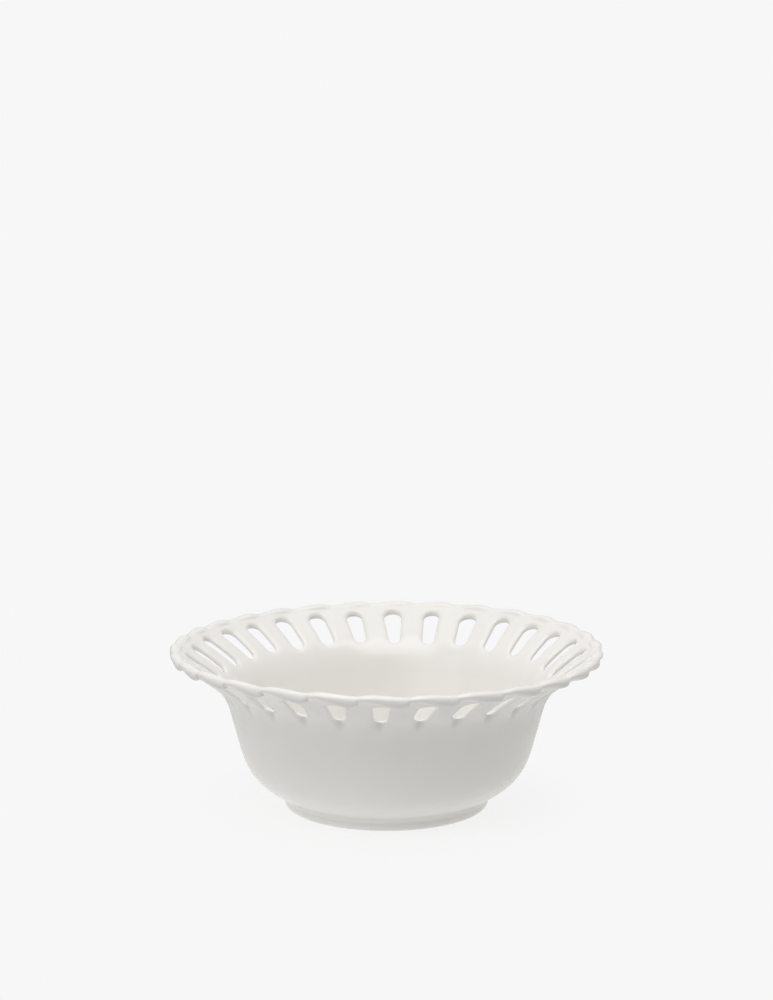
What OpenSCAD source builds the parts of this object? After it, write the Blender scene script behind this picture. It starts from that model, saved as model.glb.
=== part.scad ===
// Round porcelain bowl on a low foot ring. Its wall rises into a flared collar that is
// pierced all round with teardrop openings, and ends in a rolled edge of overlapping scallops.
// The pieces are luted together in soft clay, so each one seats face to face on the next.
// Lengths are in millimetres. The bowl stands on the XY plane, with its axis on Z.

/* [Overall] */
// Diameter over the scalloped edge
rim_d = 200; // [190:1:220]
// Height from the table to the top of the edge
bowl_h = 76; // [72:0.5:84]

/* [Foot ring] */
// Outer diameter of the foot ring
foot_d = 94.8; // [88:0.2:102]
// Height of the foot ring
foot_h = 5.2; // [4:0.1:7]
// Width of the top of the ring, where the body sits on it
foot_seat_w = 7.2; // [6:0.1:10]
// Width of the face that the ring stands on
foot_stand_w = 3.8; // [3:0.1:4.5]
// Radius of the ring's lower outer edge
foot_edge_r = 1.6; // [0.8:0.1:2.2]

/* [Body] */
// Thickness of the wall at the belly
wall_t = 4; // [3.4:0.1:5]
// Thickness of the floor inside the foot ring
floor_t = 4; // [3.4:0.1:6]
// Outer diameter at the top of the belly's curve
belly_d = 135.8; // [130:0.2:142]
// Height of the top of the belly's curve
belly_h = 29.3; // [26:0.1:33]
// Height at which the collar is joined to the body
neck_h = 46; // [42:0.5:49]
// Slope of the underside beside the foot, from level
base_slope = 29; // [20:1:38]
// Slope of the wall above the belly, from level
wall_slope = 75; // [72:0.5:80]
// How far the underside keeps its slope before it turns up
base_pull = 15; // [9:0.5:16]
// How far the wall keeps its slope below the top of the belly
belly_pull = 12.5; // [9:0.5:16]

/* [Pierced collar] */
// Thickness of the collar
collar_t = 3.2; // [2.8:0.1:4]
// Slope of the collar where it meets the edge, from level
flare_slope = 35; // [26:1:40]
// How far the collar keeps the wall's slope above the neck
neck_pull = 12; // [8:0.5:14]
// How far the collar keeps its last slope below the edge
flare_pull = 19; // [14:0.5:22]
// Number of openings, and of scallops in the edge
opening_count = 30; // [26:1:32]
// Length of an opening
opening_l = 20.6; // [16:0.2:22]
// Width of an opening at its round upper end
opening_top_w = 8.8; // [7.6:0.2:11]
// Width of an opening at its narrower lower end
opening_low_w = 6.8; // [5:0.2:7.4]
// Distance from the middle of the rolled edge to the openings
opening_gap = 3.8; // [3.2:0.1:6]
// Lean of each opening to one side, in its own plane
opening_lean = 5; // [0:0.5:6]
// Turn of the first opening from the X axis
first_turn = 3.5; // [0:0.1:12]
// The openings are spaced by eye: how far they wander once round the bowl, and where from
sway_once = 1.6; // [0:0.1:2]
sway_once_from = 106; // [0:1:180]
// How far they wander twice round the bowl, and where from
sway_twice = 1.6; // [0:0.1:2]
sway_twice_from = 13; // [0:1:90]
// Length of the tool that makes a groove below each opening
groove_l = 10; // [6:0.5:12]
// Width of the tool
groove_w = 6; // [4:0.2:7]
// Depth of the groove at the foot of the opening
groove_deep = 1; // [0.4:0.1:1.2]

/* [Scalloped edge] */
// How far the roll reaches out from its middle at a crease, where two scallops meet
edge_out = 1.9; // [1.5:0.1:2.4]
// Height of the roll over its middle at a crease
edge_up = 1.6; // [1.2:0.1:1.8]
// Distance from the middle of the roll back to its seat on the collar
seat_back = 1.9; // [1.6:0.1:2.2]
// How much further each scallop reaches out where it stands highest
scallop_out = 1.6; // [0.6:0.1:2]
// How far each scallop rises there
scallop_lift = 1.2; // [0.4:0.1:1.6]
// How far it hangs below the collar's outer face towards its end
scallop_hang = 2.1; // [1:0.1:2.4]
// Place of the notch between two scallops, from one opening to the next
notch_share = 0.56; // [0.4:0.02:0.6]

/* [Hidden] */
glaze_white = [0.94, 0.93, 0.91];
bare_white = [0.88, 0.86, 0.82];
turning_fn = 240;
// One overrun for all the cuts, taken from the wall that they go through
cut_over = collar_t;

// A unit vector at an angle from level, and the same turned a quarter towards the inside
function slope(angle) = [cos(angle), sin(angle)];
function inward(angle) = [-sin(angle), cos(angle)];
// A cubic curve that leaves a towards b and reaches d from c, and its angle from level
function curve(a, b, c, d, t) =
    pow(1 - t, 3) * a + 3 * pow(1 - t, 2) * t * b + 3 * (1 - t) * t * t * c + pow(t, 3) * d;
function heading(a, b, c, d, t) =
    let (v = pow(1 - t, 2) * (b - a) + 2 * (1 - t) * t * (c - b) + t * t * (d - c)) atan2(v[1], v[0]);

// Where the foot ring seats on the body, and how the body's outer face leaves it
foot_r = foot_d / 2;
base_a = [foot_r, foot_h];
base_b = base_a + base_pull * slope(base_slope);
belly_top = [belly_d / 2, belly_h];
base_c = belly_top - belly_pull * slope(wall_slope);
// The straight wall runs on from the belly to the neck
neck_outer = belly_top + (neck_h - belly_h) / sin(wall_slope) * slope(wall_slope);
neck_inner = neck_outer + collar_t * inward(wall_slope);

// The rolled edge in section, first as places along the way the collar points and across it,
// from the middle of the roll. Its seat is flat and stays put. Before the seat the section is
// egg shaped, with one radius out, one up and one down, and each changes from the start of a
// scallop (0) to its end (1): like a strand of rope, a scallop starts on the inside of the edge,
// stands highest a little further on, and then hangs over the outside until it ends.
crest_share = 0.3;
hang_share = 0.85;
function rise(s) = s < crest_share ? sqrt(1 - pow(1 - s / crest_share, 2))
    : cos(90 * (s - crest_share) / (1 - crest_share));
function hang(s) = s < hang_share ? (1 - cos(180 * s / hang_share)) / 2
    : sqrt(1 - pow((s - hang_share) / (1 - hang_share), 2));
// The collar's inner face lies at this share of the rise over the crease
face_share = 0.4;
face_up = edge_up + face_share * scallop_lift;
seat_low = [-seat_back, face_up - collar_t];
seat_high = [-seat_back, face_up];
function roll_out(s) = edge_out + scallop_out * rise(s);
function roll_up(s) = edge_up + scallop_lift * rise(s);
function roll_down(s) = collar_t - face_up + scallop_hang * hang(s);
back_share = 0.9;
function roll_point(s, angle) = [
    (cos(angle) > 0 ? roll_out(s) : back_share * seat_back) * cos(angle),
    (sin(angle) > 0 ? roll_up(s) : roll_down(s)) * sin(angle)];
// The egg is left at its top, and below where it comes back to the level of the seat's corner
function roll_start(s) = asin((collar_t - face_up) / roll_down(s)) - 180;
arc_steps = 10;
edge_sides = arc_steps + 3;
function roll_section(s) =
    let (egg = [for (j = [0 : arc_steps]) roll_point(s, roll_start(s) + (90 - roll_start(s)) * j / arc_steps)])
        [for (p = concat([seat_low], egg, [seat_high])) placed(p)];
function placed(p) = p[0] * slope(flare_slope) + p[1] * inward(flare_slope);
// Places along a scallop, close together where it starts and ends
scallop_shares = [0, 0.06, 0.18, 0.36, 0.55, 0.72, 0.86, 0.95];
roll_reach = max([for (s = scallop_shares) for (p = roll_section(s)) p[0]]);
roll_top = max([for (s = scallop_shares) for (p = roll_section(s)) p[1]]);
edge_middle = [rim_d / 2 - roll_reach, bowl_h - roll_top];

// The collar's outer face, from the neck to the seat of the edge
collar_d = edge_middle + placed(seat_low);
collar_b = neck_outer + neck_pull * slope(wall_slope);
collar_c = collar_d - flare_pull * slope(flare_slope);
function collar_point(t) = curve(neck_outer, collar_b, collar_c, collar_d, t);
function collar_slope(t) = heading(neck_outer, collar_b, collar_c, collar_d, t);
function collar_depth(t, deep) = collar_point(t) + deep * inward(collar_slope(t));

// The openings lie along the middle of the collar's wall, on a line between these two places
opening_high = edge_middle + placed([-opening_gap, face_up - collar_t / 2]);
opening_foot_share = 0.42;
opening_aim = collar_depth(opening_foot_share, collar_t / 2);
opening_slope = atan2(opening_high[1] - opening_aim[1], opening_high[0] - opening_aim[0]);
opening_low = opening_high - opening_l * slope(opening_slope);
// The lean sets the foot of an opening back by this turn about the bowl's axis
lean_turn = atan2(opening_l / 2 * sin(opening_lean), opening_low[0]);
pitch = 360 / opening_count;

// Where each opening and each notch of the edge stands, by its count from the first
function eyed(turn) = turn + sway_once * sin(turn + sway_once_from)
    - sway_twice * sin(2 * (turn + sway_twice_from));
function place_turn(count) = eyed(first_turn + count * pitch);

// The groove is deepest in the collar's outer face at the foot of the opening, and runs out on
// the face below, where the end of the tool stays just outside the face
groove_top_share = 0.4;
groove_end_share = 0.3;
groove_top = collar_depth(groove_top_share, groove_deep);
groove_end = collar_depth(groove_top_share, -groove_end_share * groove_deep)
    - groove_l * slope(collar_slope(groove_top_share / 2));
groove_line = atan2(groove_top[1] - groove_end[1], groove_top[0] - groove_end[0]);

module foot_ring() {
    stand_outer = foot_r - foot_edge_r;
    stand_inner = stand_outer - foot_stand_w;
    edge_steps = 6;
    color(bare_white)
        rotate_extrude($fn = turning_fn)
            polygon(concat(
                [[foot_r - foot_seat_w, foot_h], [stand_inner, 0]],
                [for (k = [0 : edge_steps])
                    [stand_outer, foot_edge_r] + foot_edge_r * slope(90 * k / edge_steps - 90)],
                [[foot_r, foot_h]]));
}

module bowl_body() {
    steps = 10;
    floor_top = foot_h + floor_t;
    // The inside follows the outer face at the wall's thickness down to this place on the
    // belly's curve, and then sweeps in to the middle of the floor
    turn_share = 0.3;
    function belly(t) = curve(base_a, base_b, base_c, belly_top, t);
    function lining(t) = belly(t) + wall_t * inward(heading(base_a, base_b, base_c, belly_top, t));
    turn_angle = heading(base_a, base_b, base_c, belly_top, turn_share);
    turn = lining(turn_share);
    floor_pull_share = 0.7;
    turn_pull = turn[0] / 8;
    color(glaze_white)
        rotate_extrude($fn = turning_fn)
            polygon(concat(
                [for (k = [0 : steps]) belly(k / steps)],
                [neck_outer, neck_inner],
                [for (k = [steps : -1 : 0]) lining(turn_share + (1 - turn_share) * k / steps)],
                [for (k = [1 : steps])
                    curve(turn, turn - turn_pull * slope(turn_angle), [floor_pull_share * turn[0], floor_top],
                          [0, floor_top], k / steps)],
                [[0, foot_h]]));
}

// A teardrop on its side: narrow end at the origin, round end at a distance, by its two widths
module teardrop(length, low_w, top_w) {
    low_r = low_w / 2;
    top_r = top_w / 2;
    far = length - low_r - top_r;
    tilt = asin((top_r - low_r) / far);
    arc_steps = 8;
    polygon(concat(
        [for (k = [0 : arc_steps])
            [length - top_r, 0] + top_r * slope(-90 - tilt + (180 + 2 * tilt) * k / arc_steps)],
        [for (k = [0 : arc_steps])
            [low_r, 0] + low_r * slope(90 + tilt + (180 - 2 * tilt) * k / arc_steps)]));
}

module opening() {
    deep = 2 * (collar_t + cut_over);
    translate([opening_low[0], 0, opening_low[1]])
        rotate([0, -opening_slope, 0])
            translate([opening_l / 2, 0, -deep / 2])
                rotate([0, 0, opening_lean])
                    translate([-opening_l / 2, 0, 0])
                        linear_extrude(deep)
                            teardrop(opening_l, opening_low_w, opening_top_w);
}

module groove() {
    // A round tool that lies outside the wall, and whose innermost line dips to the groove's depth
    groove_r = groove_w / 2;
    start = groove_end - groove_r * inward(groove_line);
    translate([start[0], 0, start[1]])
        rotate([0, 90 - groove_line, 0])
            cylinder(r = groove_r, h = norm(groove_top - groove_end) + cut_over, $fn = 48);
}

module pierced_collar() {
    steps = 12;
    color(glaze_white)
        difference() {
            rotate_extrude($fn = turning_fn)
                polygon(concat(
                    [for (k = [0 : steps]) collar_point(k / steps)],
                    [for (k = [steps : -1 : 0]) collar_depth(k / steps, collar_t)]));
            for (k = [0 : opening_count - 1])
                rotate([0, 0, place_turn(k)]) {
                    opening();
                    rotate([0, 0, -lean_turn])
                        groove();
                }
        }
}

module scalloped_edge() {
    places = len(scallop_shares);
    rings = opening_count * places;
    function turn(i) = place_turn(floor(i / places) + notch_share + scallop_shares[i % places]);
    function section(i) = roll_section(scallop_shares[i % places]);
    points = [for (i = [0 : rings - 1])
        let (a = turn(i))
            for (p = section(i))
                let (q = edge_middle + p) [q[0] * cos(a), q[0] * sin(a), q[1]]];
    // Each four-sided patch between two sections is two triangles
    faces = [for (i = [0 : rings - 1], j = [0 : edge_sides - 1])
        let (a = i * edge_sides + j, b = i * edge_sides + (j + 1) % edge_sides,
             c = (i + 1) % rings * edge_sides + (j + 1) % edge_sides, d = (i + 1) % rings * edge_sides + j)
            each [[a, b, c], [a, c, d]]];
    color(glaze_white)
        polyhedron(points, faces);
}

foot_ring();
bowl_body();
pierced_collar();
scalloped_edge();
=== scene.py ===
import math

import bmesh
import bpy
import numpy as np
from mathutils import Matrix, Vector


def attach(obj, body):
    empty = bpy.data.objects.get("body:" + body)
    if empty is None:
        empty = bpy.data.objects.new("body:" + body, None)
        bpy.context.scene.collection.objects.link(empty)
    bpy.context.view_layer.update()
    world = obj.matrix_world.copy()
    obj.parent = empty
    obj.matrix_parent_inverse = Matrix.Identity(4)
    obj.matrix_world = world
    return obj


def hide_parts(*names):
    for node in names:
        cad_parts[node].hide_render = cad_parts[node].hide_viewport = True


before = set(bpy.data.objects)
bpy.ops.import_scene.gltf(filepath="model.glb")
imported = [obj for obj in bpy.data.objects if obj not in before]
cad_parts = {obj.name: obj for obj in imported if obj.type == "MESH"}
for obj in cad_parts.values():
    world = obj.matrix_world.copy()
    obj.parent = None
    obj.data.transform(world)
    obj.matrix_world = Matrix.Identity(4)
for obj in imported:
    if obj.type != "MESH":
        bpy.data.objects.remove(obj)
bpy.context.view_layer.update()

scene = bpy.context.scene
scene.view_settings.view_transform = "Standard"

# Camera. It stands in front of the bowl, looks a little down on it through a long lens, and has
# the middle of the rim below the middle of the picture. Rows and lengths in pixels are those of
# a picture of 773 by 1000.
mm = 0.001
picture_rows = 1000
focal_pixels = 2611
rim_row = 652.8
rim_middle = np.array([0, 0, 71.5]) * mm
view_down = math.radians(13)
view_distance = 1.207
sensor_mm = 24

camera_data = bpy.data.cameras.new("camera")
camera_data.sensor_fit = "VERTICAL"
camera_data.sensor_height = sensor_mm
camera_data.lens = sensor_mm * focal_pixels / picture_rows
camera = bpy.data.objects.new("camera", camera_data)
camera.location = rim_middle + view_distance * np.array([0, -math.cos(view_down), math.sin(view_down)])
pitch = view_down - math.atan((rim_row - picture_rows / 2) / focal_pixels)
camera.rotation_euler = (math.pi / 2 - pitch, 0, 0)
scene.collection.objects.link(camera)
scene.camera = camera


# Foot ring. A low ring of the same clay, turned while it is leather hard, with a bead of slip
# worked up into the corner under the body. Its sides are glazed, and the face that it stands on
# is wiped bare before the firing.
foot_r = 47.4
foot_h = 5.2
foot_seat_w = 7.2
foot_stand_w = 2.8
foot_edge_r = 2.6
foot_lip_r = 0.9
foot_lip_from = 200
slip_reach = 2.4
slip_pull_share = 0.35
# Share of painted shade on the slip in the corner under the body
slip_painted_shade = 0.25
base_slope = 29
lip_steps, edge_steps, slip_steps, turn_steps = 6, 10, 8, 360
weld_reach = 0.0001
sharp_from = 55


def slope(degrees):
    """Unit vectors at angles from level, in the plane of a radius and the axis."""
    turn = np.radians(degrees)
    return np.stack([np.cos(turn), np.sin(turn)], -1)


def inward(degrees):
    """The same vectors turned a quarter to the left, which is towards the inside of a wall."""
    return slope(np.add(degrees, 90))


def arc(middle, radius, start, end, steps):
    """Points on a circle about middle, from one angle to another, both ends included."""
    return middle + radius * slope(np.linspace(start, end, steps + 1))


def curve(a, b, c, d, t):
    """Points of the cubic curve that leaves a towards b and reaches d from c, for shares t."""
    t = np.asarray(t)[..., None]
    return (1 - t) ** 3 * a + 3 * (1 - t) ** 2 * t * b + 3 * (1 - t) * t * t * c + t ** 3 * d


def heading(a, b, c, d, t):
    """Angle from level, in degrees, of that curve's way on at shares t."""
    t = np.asarray(t)[..., None]
    way = (1 - t) ** 2 * (b - a) + 2 * (1 - t) * t * (c - b) + t * t * (d - c)
    return np.degrees(np.arctan2(way[..., 1], way[..., 0]))


def skin(name, points, faces, painted_shade):
    """A smooth mesh object from points in millimetres, with doubles merged and the corners at its joints
    kept sharp. The last argument gives, point by point, the share of painted shade there, from 0 to 1."""
    mesh = bpy.data.meshes.new(name)
    mesh.from_pydata((points.reshape(-1, 3) * mm).tolist(), [], faces.tolist())
    # The share of painted shade at each point is kept as a point attribute
    painted_shade_layer = mesh.attributes.new("painted_shade", "FLOAT", "POINT")
    painted_shade_layer.data.foreach_set("value", painted_shade.astype(np.float32).ravel())
    welded = bmesh.new()
    welded.from_mesh(mesh)
    bmesh.ops.remove_doubles(welded, verts=welded.verts, dist=weld_reach * mm)
    welded.to_mesh(mesh)
    welded.free()
    mesh.shade_smooth()
    mesh.set_sharp_from_angle(angle=math.radians(sharp_from))
    piece = bpy.data.objects.new(name, mesh)
    scene.collection.objects.link(piece)
    return piece


def turned(name, outline, painted_shade):
    """A solid of turning: each point (r, z) of the outline, which runs anticlockwise round the
    clay, is carried round Z, and neighbours in both directions are joined by four-sided faces."""
    turn = np.linspace(0, 2 * math.pi, turn_steps, endpoint=False)[:, None]
    r, z = outline[:, 0], outline[:, 1]
    points = np.stack([r * np.cos(turn), r * np.sin(turn), z + 0 * turn], -1)
    count = len(outline)
    i, j = np.meshgrid(np.arange(turn_steps), np.arange(count), indexing="ij")
    ahead, up = (i + 1) % turn_steps, (j + 1) % count
    faces = np.stack([i * count + j, ahead * count + j, ahead * count + up, i * count + up], -1)
    return skin(name, points, faces.reshape(-1, 4), np.broadcast_to(painted_shade, points.shape[:2]))


stand_outer = foot_r - foot_edge_r
stand_inner = stand_outer - foot_stand_w
# The slip fills the corner between the ring's side and the underside of the body
corner = np.array([foot_r, foot_h])
slip_low = corner - [0, slip_reach]
slip_high = corner + slip_reach * slope(base_slope)
slip_pull = slip_pull_share * slip_reach
foot_outline = np.concatenate([
    [[foot_r - foot_seat_w, foot_h]],
    arc([stand_inner, foot_lip_r], foot_lip_r, foot_lip_from, 270, lip_steps),
    arc([stand_outer, foot_edge_r], foot_edge_r, -90, 0, edge_steps),
    curve(slip_low, corner - [0, slip_pull], corner + slip_pull * slope(base_slope),
          slip_high, np.linspace(0, 1, slip_steps + 1)),
    [corner]])
# The slip's points are the last ones, and the first of them still lies on the ring's side
in_slip = np.arange(len(foot_outline)) > len(foot_outline) - 2 - slip_steps
# The slip in the corner under the body is painted darker, as painted shade
foot_ring = turned("foot_ring_turned", foot_outline, slip_painted_shade * in_slip)


def group_of(name, inputs, outputs):
    """A new shader node group with its sockets, given as (name, kind, default)."""
    tree = bpy.data.node_groups.new(name, "ShaderNodeTree")
    for title, kind, default in inputs:
        tree.interface.new_socket(title, in_out="INPUT", socket_type=kind).default_value = default
    for title, kind in outputs:
        tree.interface.new_socket(title, in_out="OUTPUT", socket_type=kind)
    return tree


def noise(tree, scale, detail):
    """Output of a noise texture over places on the piece, with its scale per metre."""
    place = tree.nodes.new("ShaderNodeTexCoord")
    texture = tree.nodes.new("ShaderNodeTexNoise")
    texture.inputs["Scale"].default_value = scale
    texture.inputs["Detail"].default_value = detail
    tree.links.new(place.outputs["Object"], texture.inputs["Vector"])
    return texture.outputs["Fac"]


def weighted(tree, value, weight, rest):
    """Output of a node for value times weight plus rest."""
    node = tree.nodes.new("ShaderNodeMath")
    node.operation = "MULTIPLY_ADD"
    node.inputs[1].default_value = weight
    tree.links.new(value, node.inputs[0])
    tree.links.new(rest, node.inputs[2])
    return node.outputs[0]


def faded(tree, value, near, far, first, last):
    """Output of a node that fades softly from first to last while value goes from near to far."""
    node = tree.nodes.new("ShaderNodeMapRange")
    node.interpolation_type = "SMOOTHSTEP"
    node.inputs["From Min"].default_value = near
    node.inputs["From Max"].default_value = far
    node.inputs["To Min"].default_value = first
    node.inputs["To Max"].default_value = last
    tree.links.new(value, node.inputs["Value"])
    return node.outputs["Result"]


# Clouds, waves and ripple of the glaze: noise scales per metre, with their detail and strength
cloud_scale, cloud_detail = 28, 3
cloudiness = 0.03
wave_scale, wave_detail = 45, 1
ripple_scale, ripple_detail = 420, 2
ripple_weight = 0.04
gloss_weight = 0.06
glaze_roughness = 0.12
glaze_ior = 1.5
relief_strength = 0.5
relief_height = 0.2 * mm


def glaze_group():
    """Clear glaze over white clay: a darker tint mixed in as painted shade, by the share that each point
    carries, faint cloudy variation, and a fine ripple like orange peel over broader waves."""
    tree = group_of(
        "clear_glaze",
        [("Clay", "NodeSocketColor", (0.8, 0.79, 0.76, 1)),
         ("Painted shade tint", "NodeSocketColor", (0.6, 0.62, 0.6, 1)),
         ("Cloudiness", "NodeSocketFloat", cloudiness),
         ("Roughness", "NodeSocketFloat", glaze_roughness)],
        [("Color", "NodeSocketColor"), ("Roughness", "NodeSocketFloat"), ("Height", "NodeSocketFloat")])
    add, join = tree.nodes.new, tree.links.new
    given, result = add("NodeGroupInput"), add("NodeGroupOutput")
    # The point attribute gives the share of painted shade, which mixes the darker tint into the clay
    painted_shade = add("ShaderNodeAttribute")
    painted_shade.attribute_name = "painted_shade"
    cloud = noise(tree, cloud_scale, cloud_detail)
    # Clouds darken the clay by at most the given share
    dimmed = add("ShaderNodeMath")
    dimmed.operation = "MULTIPLY"
    join(cloud, dimmed.inputs[0])
    join(given.outputs["Cloudiness"], dimmed.inputs[1])
    darker = add("ShaderNodeMix")
    darker.data_type = "RGBA"
    darker.blend_type = "MULTIPLY"
    darker.inputs["B"].default_value = (0, 0, 0, 1)
    join(dimmed.outputs[0], darker.inputs["Factor"])
    join(given.outputs["Clay"], darker.inputs["A"])
    tinted = add("ShaderNodeMix")
    tinted.data_type = "RGBA"
    join(painted_shade.outputs["Fac"], tinted.inputs["Factor"])
    join(darker.outputs["Result"], tinted.inputs["A"])
    join(given.outputs["Painted shade tint"], tinted.inputs["B"])
    join(tinted.outputs["Result"], result.inputs["Color"])
    # The gloss varies a little with the same clouds
    join(weighted(tree, cloud, gloss_weight, given.outputs["Roughness"]), result.inputs["Roughness"])
    ripple = noise(tree, ripple_scale, ripple_detail)
    waves = noise(tree, wave_scale, wave_detail)
    join(weighted(tree, ripple, ripple_weight, waves), result.inputs["Height"])
    return tree


clear_glaze = glaze_group()


def glazed(name, clay, shade_tint):
    """A material of clear glaze over clay of one colour, with a darker tint for painted shade."""
    material = bpy.data.materials.new(name)
    material.use_nodes = True
    nodes, join = material.node_tree.nodes, material.node_tree.links.new
    shader = nodes["Principled BSDF"]
    shader.inputs["IOR"].default_value = glaze_ior
    glaze = nodes.new("ShaderNodeGroup")
    glaze.node_tree = clear_glaze
    glaze.inputs["Clay"].default_value = clay
    glaze.inputs["Painted shade tint"].default_value = shade_tint
    join(glaze.outputs["Color"], shader.inputs["Base Color"])
    join(glaze.outputs["Roughness"], shader.inputs["Roughness"])
    bump = nodes.new("ShaderNodeBump")
    bump.inputs["Strength"].default_value = relief_strength
    bump.inputs["Distance"].default_value = relief_height
    join(glaze.outputs["Height"], bump.inputs["Height"])
    join(bump.outputs["Normal"], shader.inputs["Normal"])
    return material


foot_clay = (0.86, 0.85, 0.82, 1)
# Colour of the painted shade on the foot ring
foot_shade_tint = (0.66, 0.67, 0.64, 1)
bare_clay = (0.79, 0.76, 0.7, 1)
bare_roughness = 0.85
bare_height = 0.45 * mm
bare_edge = 0.1 * mm
bare_waves = 0.35 * mm
bare_scale, bare_detail = 140, 2
foot_glaze = glazed("foot_glaze", foot_clay, foot_shade_tint)
# The glaze is wiped off the standing face up to a slightly wavy line, and the bare clay is matte
tree = foot_glaze.node_tree
nodes, join = tree.nodes, tree.links.new
place = nodes.new("ShaderNodeTexCoord")
height = nodes.new("ShaderNodeSeparateXYZ")
join(place.outputs["Object"], height.inputs[0])
wavy_height = weighted(tree, noise(tree, bare_scale, bare_detail), bare_waves, height.outputs["Z"])
bare = faded(tree, wavy_height, bare_height + bare_edge, bare_height, 0, 1)
shader = nodes["Principled BSDF"]
for socket, kind, value in (("Base Color", "RGBA", bare_clay), ("Roughness", "FLOAT", bare_roughness)):
    blend = nodes.new("ShaderNodeMix")
    blend.data_type = kind
    join(bare, blend.inputs["Factor"])
    join(shader.inputs[socket].links[0].from_socket, blend.inputs["A"])
    blend.inputs["B"].default_value = value
    join(blend.outputs["Result"], shader.inputs[socket])
foot_ring.data.materials.append(foot_glaze)
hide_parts("foot_ring")
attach(foot_ring, "root")


# Body. It is thrown in one piece: a flat floor, a round belly and a straight wall up to the
# neck. The glaze covers it inside and out, so that the joints above and below hardly show.
wall_t = 4
floor_t = 4
belly_r = 67.9
belly_h = 29.3
neck_h = 46
wall_slope = 75
base_pull = 15
belly_pull = 12.5
collar_t = 3.2
# Share of painted shade on all outer faces, which makes them darker than the inside
outer_painted_shade = 0.25
sweep_pull_share = 0.125
floor_pull_share = 0.7
belly_steps, wall_steps, inner_wall_steps, inner_belly_steps, under_steps = 60, 15, 11, 39, 23
white_clay = (0.88, 0.862, 0.828, 1)
# Colour of the painted shade on the white glaze
white_shade_tint = (0.62, 0.63, 0.6, 1)

base_a = corner
base_b = base_a + base_pull * slope(base_slope)
belly_top = np.array([belly_r, belly_h])
base_c = belly_top - belly_pull * slope(wall_slope)
belly = (base_a, base_b, base_c, belly_top)
neck_outer = belly_top + (neck_h - belly_h) / math.sin(math.radians(wall_slope)) * slope(wall_slope)
neck_inner = neck_outer + collar_t * inward(wall_slope)
# The inside follows the outer face down to this share of the belly's curve, and then sweeps in
turn_share = 0.3
turn_slope = heading(*belly, turn_share)
turn_place = curve(*belly, turn_share) + wall_t * inward(turn_slope)
floor_top = foot_h + floor_t
wall_inner = belly_top + wall_t * inward(wall_slope)
belly_shares = np.linspace(0, 1, belly_steps + 1)
wall_shares = np.linspace(0, 1, wall_steps + 1)[1:, None]
inner_wall_shares = np.linspace(0, 1, inner_wall_steps + 1)[:-1, None]
inner_belly_shares = np.linspace(1, turn_share, inner_belly_steps + 1)
body_outline = np.concatenate([
    curve(*belly, belly_shares),
    belly_top + wall_shares * (neck_outer - belly_top),
    neck_inner + inner_wall_shares * (wall_inner - neck_inner),
    curve(*belly, inner_belly_shares) + wall_t * inward(heading(*belly, inner_belly_shares)),
    curve(turn_place, turn_place - sweep_pull_share * turn_place[0] * slope(turn_slope),
          np.array([floor_pull_share * turn_place[0], floor_top]), np.array([0, floor_top]),
          belly_shares[1:]),
    np.stack([np.linspace(0, foot_r, under_steps + 1)[:-1], np.full(under_steps, foot_h)], -1)])
# The outside, which the outline runs up first, is painted a little darker, as painted shade
is_outside = np.arange(len(body_outline)) <= belly_steps + wall_steps
bowl_body = turned("bowl_body_thrown", body_outline, outer_painted_shade * is_outside)
white_glaze = glazed("white_glaze", white_clay, white_shade_tint)
bowl_body.data.materials.append(white_glaze)
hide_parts("bowl_body")
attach(bowl_body, "root")


# Pierced collar. The flared upper wall, of the same clay, is luted on at the neck and cut through
# with a knife, one teardrop after another. Each cut edge is then smoothed round with a wet
# sponge, and its strokes leave a short groove under each opening on the outside.
rim_r = 99.8
bowl_h = 75.95
flare_slope = 35
neck_pull = 12
flare_pull = 19
openings = 30
opening_l = 20.6
opening_top_r = 4.4
opening_low_r = 3.4
opening_gap = 3.8
opening_lean = 5
first_turn = 3.5
sway_once, sway_once_from = 1.6, 106
sway_twice, sway_twice_from = 1.6, 13
groove_l = 9
groove_w = 2.3
groove_deep = 1.1
groove_end_share = 0.5
sponged = 3.3
sponged_at_top = 1.5
fullness = 0.88
top_bevel = 1.4
# What the hand makes of the sizes of single openings: shares, and how far they swing either way
cut_length_share, cut_length_swing_share = 0.98, 0.04
cut_width_share, low_swing_share, top_swing_share = 0.92, 0.08, 0.06
lean_swing = 1.2
edge_out = 1.9
edge_up = 1.6
seat_back = 1.9
scallop_out = 1.6
scallop_lift = 1.2
scallop_hang = 1.9
crest_share = 0.3
crease_level = 0.28
hang_share = 0.85
back_reach_share = 0.9
rim_dip = 1.2
rim_dip_turn = 135

# The rolled edge in section, which also settles where the collar ends. Its places go along the
# way the collar points and across it, from the middle of the roll. The collar's inner face lies
# level with the top of the roll where a scallop has this share of its full rise.
face_lift_share = 0.4
face_up = edge_up + face_lift_share * scallop_lift
seat_low = np.array([-seat_back, face_up - collar_t])
seat_high = np.array([-seat_back, face_up])
line_share = 0.14


def placed(section):
    """Places (r, z) of a section's places along the way the collar points and across it."""
    return section[..., :1] * slope(flare_slope) + section[..., 1:] * inward(flare_slope)


def rise(s):
    """How far a scallop has risen: from the crease level up to 1 at its crest in a quarter of a
    sine wave, and back down to the crease level at its end in half a cosine wave."""
    start = np.sin(math.pi / 2 * np.minimum(s / crest_share, 1))
    fall = (1 + np.cos(math.pi * (s - crest_share) / (1 - crest_share))) / 2
    return crease_level + (1 - crease_level) * np.where(s < crest_share, start, fall)


def hang(s):
    """How far a scallop hangs over the outside: it swells in half a cosine wave, and its end is
    rounded off in a quarter of an ellipse."""
    end = np.sqrt(1 - np.clip((s - hang_share) / (1 - hang_share), 0, 1) ** 2)
    return np.where(s < hang_share, (1 - np.cos(math.pi * s / hang_share)) / 2, end)


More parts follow.
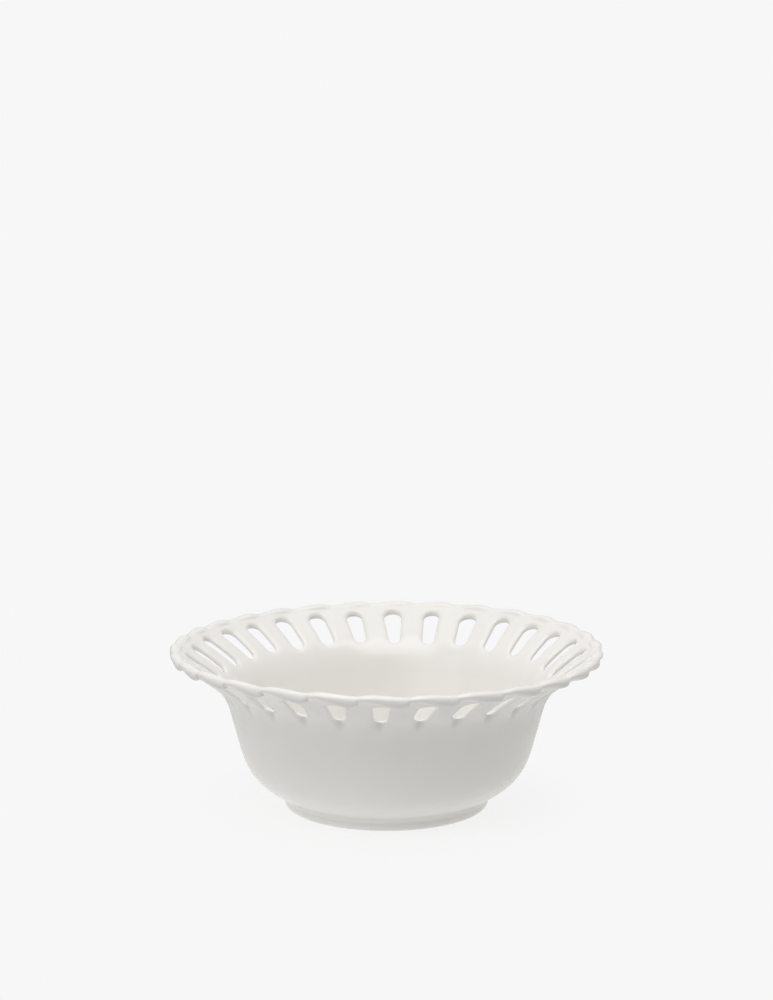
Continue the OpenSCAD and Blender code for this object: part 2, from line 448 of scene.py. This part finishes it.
def roll_point(s, share):
    """Section of the rolled edge, for shares from 0, level with the seat's lower corner, to 1 at
    its upper one: round an egg with its own radius out, back, up and down, and over the last
    line_share in a soft S to the corner."""
    down = collar_t - face_up + scallop_hang * hang(s)
    start = np.degrees(np.arcsin((collar_t - face_up) / down)) - 180
    arc_share = np.clip(share / (1 - line_share), 0, 1)
    way = slope(start + (90 - start) * arc_share)
    reach = np.where(way[..., 0] > 0, edge_out + scallop_out * rise(s), back_reach_share * seat_back)
    height = np.where(way[..., 1] > 0, edge_up + scallop_lift * rise(s), down)
    egg = way * np.stack([reach, height], -1)
    above = np.clip(1 - (1 - share) / line_share, 0, 1)[..., None]
    eased = np.concatenate([above, above ** 2 * (3 - 2 * above)], -1)
    return placed(egg + eased * (seat_high - egg))


# The roll's middle lies where its farthest and its highest point reach the rim's size
sample_shares = np.linspace(0, 1, 81)
sample = roll_point(*np.meshgrid(sample_shares, sample_shares))
edge_middle = np.array([rim_r - sample[..., 0].max(), bowl_h - sample[..., 1].max()])

collar_d = edge_middle + placed(seat_low)
collar_b = neck_outer + neck_pull * slope(wall_slope)
collar_c = collar_d - flare_pull * slope(flare_slope)
collar = (neck_outer, collar_b, collar_c, collar_d)
# Lengths along the middle of the collar's wall, from the neck
collar_shares = np.linspace(0, 1, 400)
collar_middle = curve(*collar, collar_shares) + collar_t / 2 * inward(heading(*collar, collar_shares))
collar_bits = np.linalg.norm(np.diff(collar_middle, axis=0), axis=1)
collar_lengths = np.concatenate([[0], np.cumsum(collar_bits)])
collar_length = collar_lengths[-1]


def wall_place(length, out):
    """Place (r, z) at a distance along the middle of the collar's wall from the neck, and out of
    its middle towards the outer face."""
    share = np.interp(length, collar_lengths, collar_shares)
    across = inward(heading(*collar, share))
    return curve(*collar, share) + (collar_t / 2 - out)[..., None] * across


def eyed(turn):
    """Turns in degrees as a hand spaces them by eye: they wander once and twice round the bowl."""
    return (turn + sway_once * np.sin(np.radians(turn + sway_once_from))
            - sway_twice * np.sin(np.radians(2 * (turn + sway_twice_from))))


def place_turn(count):
    """Turn of an opening by its count from the first, in degrees."""
    return eyed(first_turn + count * 360 / openings)


def settled(place, turn):
    """Points (x, y, z) of places (r, z) at a turn, with the rim sunk a little in the kiln: not at
    all at two opposite sides, and most between them, by the square of the height over the neck."""
    height = np.clip((place[..., 1] - neck_h) / (bowl_h - neck_h), 0, 1)
    dip = rim_dip * height ** 2 * (1 + np.cos(np.radians(2 * (turn - rim_dip_turn)))) / 2
    angle = np.radians(turn)
    return np.stack([place[..., 0] * np.cos(angle), place[..., 0] * np.sin(angle), place[..., 1] - dip], -1)


# Where the openings lie along the wall
opening_middle = collar_length - (opening_gap - seat_back) - opening_l / 2
foot_of_opening = opening_middle - opening_l / 2

# One cell of the collar reaches from the middle of one strut to the middle of the next. Its grid
# goes round the opening (u), and from the cell's border on the outer face over the rounded cut
# edge to the border on the inner face (v)
low_steps, side_steps, top_steps, spread_steps, round_steps = 12, 26, 16, 9, 7
spread_power = 1.3
cell = np.arange(openings)[:, None]


def by_hand(mean, swing, pace, start=0):
    """One size of each opening, as a hand makes it: a sine wave about the mean that runs on by
    pace, in radians, from one opening to the next, so that it looks like chance."""
    return mean + swing * np.sin(pace * cell + start)


length_k = opening_l * by_hand(cut_length_share, cut_length_swing_share, pace=2.1)
low_k = opening_low_r * by_hand(cut_width_share, low_swing_share, pace=1.3, start=2)
top_k = opening_top_r * by_hand(cut_width_share, top_swing_share, pace=2.7, start=1)
lean_k = np.radians(by_hand(opening_lean, lean_swing, pace=3.1))
# Distance from the middle of the lower arc to that of the upper one, and the tilt of the sides
far_k = length_k - low_k - top_k
tilt_k = np.degrees(np.arcsin((top_k - low_k) / far_k))


def steps_of(count):
    """Shares along one stretch of the way round, without its end."""
    return np.arange(count) / count


low, side, top = steps_of(low_steps), steps_of(side_steps), steps_of(top_steps)
# Outline of the teardrop: middle of its arc, radius there, and the way out of it
middle_u = np.concatenate([0 * cell + 0 * low, far_k * side, far_k + 0 * top, far_k * (1 - side)], 1)
radius_u = np.concatenate([
    low_k + 0 * low, low_k + (top_k - low_k) * side, top_k + 0 * top, top_k + (low_k - top_k) * side], 1)
way_u = np.radians(np.concatenate([
    90 + tilt_k + (180 - 2 * tilt_k) * low, 270 - tilt_k + 0 * side,
    -90 - tilt_k + (180 + 2 * tilt_k) * top, 90 + tilt_k + 0 * side], 1))
# Border of the cell: distance from the neck, and share of the way across from one strut to the next
border_length = collar_length * np.concatenate([0 * low, side, 1 + 0 * top, 1 - side])
border_share = np.concatenate([1 - low, 0 * side, top, 1 + 0 * side])


def strut_turn(count, length):
    """Turn of the middle of a strut at a distance from the neck: it leans as the openings do."""
    r = wall_place(length, 0 * length)[..., 0]
    sideways = (length - opening_middle) * math.tan(math.radians(opening_lean))
    return place_turn(count) + np.degrees(sideways / r)


right, left = strut_turn(cell - 0.5, border_length), strut_turn(cell + 0.5, border_length)
border_turn = right + (left - right) * border_share


def round_opening(beyond):
    """Distance from the neck and turn of points that lie beyond the teardrop's outline."""
    along = low_k + middle_u + (radius_u + beyond) * np.cos(way_u) - length_k / 2
    across = (radius_u + beyond) * np.sin(way_u)
    length = opening_middle + along * np.cos(lean_k) - across * np.sin(lean_k)
    sideways = along * np.sin(lean_k) + across * np.cos(lean_k)
    return length, place_turn(cell) + np.degrees(sideways / wall_place(length, 0 * length)[..., 0])


# The sponge rounds the cut edge off over this distance, less at the top, close to the rolled edge
upward = np.clip(np.cos(way_u), 0, 1) ** 2
sponged_u = sponged + (sponged_at_top - sponged) * upward
full = round_opening(sponged_u)
lengths, turns, outs, shares = [], [], [], []
for q in np.linspace(1, 0, spread_steps + 1)[:-1]:
    reach = q ** spread_power
    lengths.append(full[0] + (border_length - full[0]) * reach)
    turns.append(full[1] + (border_turn - full[1]) * reach)
    outs.append(np.full_like(full[0], collar_t / 2))
    shares.append(1 - reach)
for angle in np.radians(np.linspace(90, 0, round_steps + 1)):
    ring = round_opening(sponged_u * (1 - math.cos(angle) ** fullness))
    lengths.append(ring[0])
    turns.append(ring[1])
    outs.append(np.full_like(ring[0], collar_t / 2 * math.sin(angle) ** fullness))
    shares.append(1)
length = np.stack(lengths + lengths[-2::-1], -1)
turn = np.stack(turns + turns[-2::-1], -1)
out = np.stack(outs + [-o for o in outs[-2::-1]], -1)
# The knife goes in aslant at the upper end, so that the cut lies lower on the outside. This fades
# down the sides of the opening, and from the cut edge to the cell's border
nearness = np.array(shares + shares[-2::-1])
to_top = np.clip(2 * middle_u / far_k - 1, 0, 1)[..., None] ** 2
length = length - top_bevel * to_top * (0.5 + out / collar_t) * nearness

# The groove lies in the outer face. It is deepest at the foot of the opening, and narrows below it
sideways = np.radians(turn - place_turn(cell)[..., None]) * wall_place(length, 0 * length)[..., 0]
sideways = sideways - (length - opening_middle) * math.tan(math.radians(opening_lean))
below = np.clip((foot_of_opening - length) / groove_l, 0, 1)
above = np.clip((length - foot_of_opening) / groove_l, 0, 1)
groove_half = groove_w * (1 - (1 - groove_end_share) * below)
groove = (1 - below) ** 2 * (1 + 2 * below) * (1 - above) ** 2 * np.exp(-(sideways / groove_half) ** 2)
outside = np.clip(2 * out / collar_t, 0, 1)
out = out - groove * groove_deep * outside

points = settled(wall_place(length, out), turn)
around, across = length.shape[1:]
k, u, v = np.meshgrid(np.arange(openings), np.arange(around), np.arange(across - 1), indexing="ij")
start, ahead = (k * around + u) * across, (k * around + (u + 1) % around) * across
sheet = np.stack([start + v, start + v + 1, ahead + v + 1, ahead + v], -1).reshape(-1, 4)
# Faces of the joints at the neck and at the seat of the edge
ends = np.concatenate([np.arange(low_steps), low_steps + side_steps + np.arange(top_steps)])
k, u = np.meshgrid(np.arange(openings), ends, indexing="ij")
start, ahead = (k * around + u) * across, (k * around + (u + 1) % around) * across
joints = np.stack([start, ahead, ahead + across - 1, start + across - 1], -1).reshape(-1, 4)
# Painted shade: the outer face is painted a little darker, and darker still along the groove under each
# opening
painted_shade = np.maximum(outer_painted_shade, groove) * outside
pierced_collar = skin("pierced_collar_cut", points, np.concatenate([sheet, joints]), painted_shade)
pierced_collar.data.materials.append(white_glaze)
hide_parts("pierced_collar")
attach(pierced_collar, "root")


# Scalloped edge. A rolled strip of the same clay is luted along the top of the collar and pressed
# down with a finger once over each strut, so that each scallop overlaps the start of the next
# like the strands of a rope.
notch_share = 0.56
scallop_steps, roll_steps = 46, 44
# Painted shade: its share in the creases between scallops and under the hanging roll, and the shares of the
# section where the underside shade starts and is full
crease_painted_shade = 0.25
crease_width_share = 0.03
underside_painted_shade = 0.45
under_from_share = 0.62
under_full_share = 0.35
under_power = 1.2

# Places along a scallop lie closest at its two ends, as points on half a circle do from above
s = (1 - np.cos(np.linspace(0, math.pi, scallop_steps, endpoint=False))) / 2
k, s = np.meshgrid(np.arange(openings), s, indexing="ij")
turn = place_turn(k + notch_share + s).ravel()[:, None]
share = np.linspace(0, 1, roll_steps + 1)[None, :]
s, share = s.ravel()[:, None] + 0 * share, share + 0 * s.ravel()[:, None]
section = roll_point(s, share)
seat_corner = np.broadcast_to(placed(seat_low), section[:, :1].shape)
section = np.concatenate([seat_corner, section], 1)
points = settled(edge_middle + section, turn)
rings, sides = section.shape[:2]
i, j = np.meshgrid(np.arange(rings), np.arange(sides), indexing="ij")
ahead, up = (i + 1) % rings, (j + 1) % sides
faces = np.stack([i * sides + j, ahead * sides + j, ahead * sides + up, i * sides + up], -1).reshape(-1, 4)
# Painted shade on the underside, where a scallop hangs over, and a little in the creases
crease = crease_painted_shade * np.exp(-np.minimum(s, 1 - s) / crease_width_share) * (1 - share)
underside = np.clip((under_from_share - share) / (under_from_share - under_full_share), 0, 1)
painted_shade = crease + underside_painted_shade * hang(s) * underside ** under_power
painted_shade = np.pad(painted_shade, ((0, 0), (1, 0)), mode="edge")
scalloped_edge = skin("scalloped_edge_rolled", points, faces, painted_shade)
scalloped_edge.data.materials.append(white_glaze)
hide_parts("scalloped_edge")
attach(scalloped_edge, "root")


# Table, room and lamps. A pale table runs to the horizon, and under the bowl it glows like a lit
# sheet. Wide soft lamps hang to the front left, above the front and above the back, in a pale
# room that is dimmer towards the front.
pale = (0.93, 0.93, 0.93, 1)
table_half = 8
bounce = 0.7
table_glow = 0.41
glow_near, glow_far = 0.05, 0.16
shadow_near, shadow_far, shadow_share = 0.046, 0.105, 0.3
room_strength = 0.72
front_dimming = 0.6
table_roughness = 0.9

floor_mesh = bpy.data.meshes.new("floor")
floor_mesh.from_pydata([(-table_half, -table_half, 0), (table_half, -table_half, 0),
                        (table_half, table_half, 0), (-table_half, table_half, 0)], [], [(0, 1, 2, 3)])
floor = bpy.data.objects.new("floor", floor_mesh)
scene.collection.objects.link(floor)
floor_paint = bpy.data.materials.new("floor_paint")
floor_paint.use_nodes = True
tree = floor_paint.node_tree
nodes, join = tree.nodes, tree.links.new
shader = nodes["Principled BSDF"]
shader.inputs["Base Color"].default_value = (bounce, bounce, bounce, 1)
shader.inputs["Roughness"].default_value = table_roughness
shader.inputs["Emission Color"].default_value = (1, 1, 1, 1)
glow = nodes.new("ShaderNodeEmission")
glow.inputs["Color"].default_value = pale
place = nodes.new("ShaderNodeTexCoord")
distance = nodes.new("ShaderNodeVectorMath")
distance.operation = "LENGTH"
join(place.outputs["Object"], distance.inputs[0])
# The lit sheet under the bowl glows, most by the foot
fading = faded(tree, distance.outputs["Value"], glow_near, glow_far, table_glow, 0)
join(fading, shader.inputs["Emission Strength"])
# The camera sees plain white, save close to the foot, where part of the lit table shows its shadow
plain = faded(tree, distance.outputs["Value"], shadow_near, shadow_far, 1 - shadow_share, 1)
seen = nodes.new("ShaderNodeLightPath")
white = nodes.new("ShaderNodeMath")
white.operation = "MULTIPLY"
join(seen.outputs["Is Camera Ray"], white.inputs[0])
join(plain, white.inputs[1])
blend = nodes.new("ShaderNodeMixShader")
join(white.outputs[0], blend.inputs[0])
join(shader.outputs[0], blend.inputs[1])
join(glow.outputs[0], blend.inputs[2])
join(blend.outputs[0], nodes["Material Output"].inputs["Surface"])
floor_mesh.materials.append(floor_paint)

world = bpy.data.worlds.new("room")
scene.world = world
world.use_nodes = True
nodes, join = world.node_tree.nodes, world.node_tree.links.new
room = nodes["Background"]
room.inputs["Color"].default_value = pale
# The camera sees the room at full strength. What the bowl gets from it is weaker, and weakest
# from the front, where the camera stands
place = nodes.new("ShaderNodeTexCoord")
direction = nodes.new("ShaderNodeSeparateXYZ")
join(place.outputs["Generated"], direction.inputs[0])
frontward = nodes.new("ShaderNodeMath")
frontward.operation = "MINIMUM"
frontward.inputs[1].default_value = 0
join(direction.outputs["Y"], frontward.inputs[0])
dimmed = nodes.new("ShaderNodeMath")
dimmed.operation = "MULTIPLY_ADD"
dimmed.inputs[1].default_value = front_dimming
dimmed.inputs[2].default_value = room_strength
join(frontward.outputs[0], dimmed.inputs[0])
strength = nodes.new("ShaderNodeMix")
strength.inputs["B"].default_value = 1
join(dimmed.outputs[0], strength.inputs["A"])
seen = nodes.new("ShaderNodeLightPath")
join(seen.outputs["Is Camera Ray"], strength.inputs["Factor"])
join(strength.outputs["Result"], room.inputs["Strength"])


def soft_lamp(name, place, size, watts):
    """A square lamp that faces the middle of the bowl's rim, with its place and size in metres."""
    data = bpy.data.lights.new(name, "AREA")
    data.shape = "SQUARE"
    data.size = size
    data.energy = watts
    lamp = bpy.data.objects.new(name, data)
    lamp.location = place
    lamp.rotation_euler = (Vector(rim_middle) - Vector(place)).to_track_quat("-Z", "Y").to_euler()
    scene.collection.objects.link(lamp)


soft_lamp("left_lamp", place=(-0.85, -0.99, 0.62), size=1.05, watts=2.7)
soft_lamp("front_top_lamp", place=(-0.1, -0.5, 1.25), size=1, watts=7)
soft_lamp("back_top_lamp", place=(0.1, 0.2, 1.3), size=1.1, watts=2.4)
